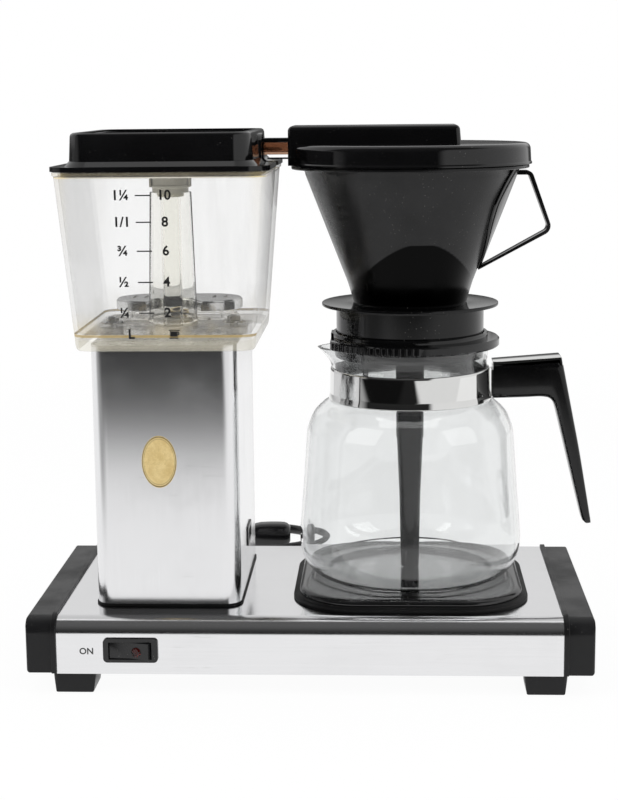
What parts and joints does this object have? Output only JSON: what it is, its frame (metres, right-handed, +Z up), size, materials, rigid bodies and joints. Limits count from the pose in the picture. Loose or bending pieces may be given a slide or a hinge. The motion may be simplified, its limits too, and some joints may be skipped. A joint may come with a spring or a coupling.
{
  "type": "drip coffee maker",
  "caption": "Drip coffee maker: folded metal base with a warming plate, column under a clear water tank, cone brew basket and glass carafe.",
  "frame": {"origin": "on the surface it stands on, under the middle of the appliance without its lead", "axes": "+X to the user's right, towards the carafe handle; +Y to the back; +Z up; the front faces -Y"},
  "size_m": [0.3291, 0.3803, 0.3196],
  "materials": {
    "polished_sheet": "polished folded sheet, near white",
    "black_cap": "satin moulded black",
    "gloss_black": "glossy moulded black",
    "zinc_plate": "plain plated steel",
    "switch_black": "semi-gloss black",
    "red_lens": "red pilot lens",
    "plate_black": "black enamel",
    "black_rubber": "matt rubber",
    "aluminium": "fine brushed along the height",
    "ceramic": "off-white insulating moulding",
    "copper": "drawn copper",
    "valve_brass": "machined brass",
    "silicone": "translucent silicone",
    "clear_plastic": "clear moulded plastic, yellowish at its edges",
    "beige_plastic": "beige-grey moulding",
    "polished_steel": "polished stainless",
    "brown_clear": "translucent brown",
    "glass": "clear blown glass",
    "chrome": "mirror bright",
    "lead_black": "satin black mains lead",
    "pin_metal": "nickel-plated pins"
  },
  "bodies": {
    "base": {"base_shell": "polished_sheet", "end_cap_left": "black_cap", "end_cap_right": "black_cap", "bottom_plate": "zinc_plate", "feet": "black_cap", "foot_screws": "zinc_plate", "switch_frame": "switch_black", "hot_plate": "plate_black", "hot_plate_seal": "black_rubber", "hot_plate_element": "zinc_plate", "thermostat": "ceramic", "terminal_block": "ceramic", "strain_relief": "lead_black", "cord": "lead_black", "cord_plug": "lead_black", "plug_pins": "pin_metal", "column_shell": "aluminium", "column_top_plate": "zinc_plate", "column_gasket": "black_rubber", "rear_panel": "aluminium", "rear_panel_screws": "zinc_plate", "side_vent": "switch_black", "boiler_tube": "copper", "boiler_heater": "zinc_plate", "boiler_clips": "zinc_plate", "check_valve": "valve_brass", "boiler_hoses": "silicone", "water_tank": "clear_plastic", "tank_seals": "silicone", "tank_studs": "zinc_plate", "star_washers": "polished_steel", "riser_tube": "clear_plastic", "riser_sleeve": "clear_plastic", "riser_collar": "beige_plastic", "filter_plate": "polished_steel", "strainer_comb": "clear_plastic"},
    "switch_rocker": {"switch_rocker": "switch_black", "switch_lens": "red_lens"},
    "outlet_arm": {"outlet_arm": "brown_clear", "arm_cover": "gloss_black", "arm_rest": "gloss_black"},
    "tank_lid": {"tank_lid": "gloss_black"},
    "basket_lid": {"basket_lid": "gloss_black"},
    "carafe": {"carafe_glass": "glass", "carafe_band": "chrome", "band_clip": "chrome", "carafe_handle": "gloss_black", "handle_trim": "chrome"},
    "carafe_lid": {"carafe_lid": "gloss_black", "mixing_tube": "gloss_black"},
    "brew_basket": {"brew_basket": "gloss_black", "basket_handle": "gloss_black"}
  },
  "joints": [
    {"name": "switch_rock", "type": "hinge", "parent": "base", "child": "switch_rocker", "pos_m": [-0.10475, -0.0805, 0.02605], "axis": [0, 0, 1], "range_deg": [0, 16]},
    {"name": "arm_lift", "type": "slide", "parent": "base", "child": "outlet_arm", "axis": [0, 0, 1], "range_m": [0, 0.04]},
    {"name": "tank_lid_lift", "type": "slide", "parent": "outlet_arm", "child": "tank_lid", "axis": [0, 0, 1], "range_m": [0, 0.06]},
    {"name": "basket_lid_lift", "type": "slide", "parent": "outlet_arm", "child": "basket_lid", "axis": [0, 0, 1], "range_m": [0, 0.06]},
    {"name": "carafe_slide", "type": "slide", "parent": "base", "child": "carafe", "axis": [0, -1, 0], "range_m": [0, 0.17]},
    {"name": "carafe_lid_turn", "type": "hinge", "parent": "carafe", "child": "carafe_lid", "pos_m": [0.0554, 0, 0.19], "axis": [0, 0, 1], "range_deg": [0, 60]},
    {"name": "basket_turn", "type": "hinge", "parent": "carafe", "child": "brew_basket", "pos_m": [0.0554, 0, 0.2], "axis": [0, 0, 1], "range_deg": [-90, 90]}
  ]
}
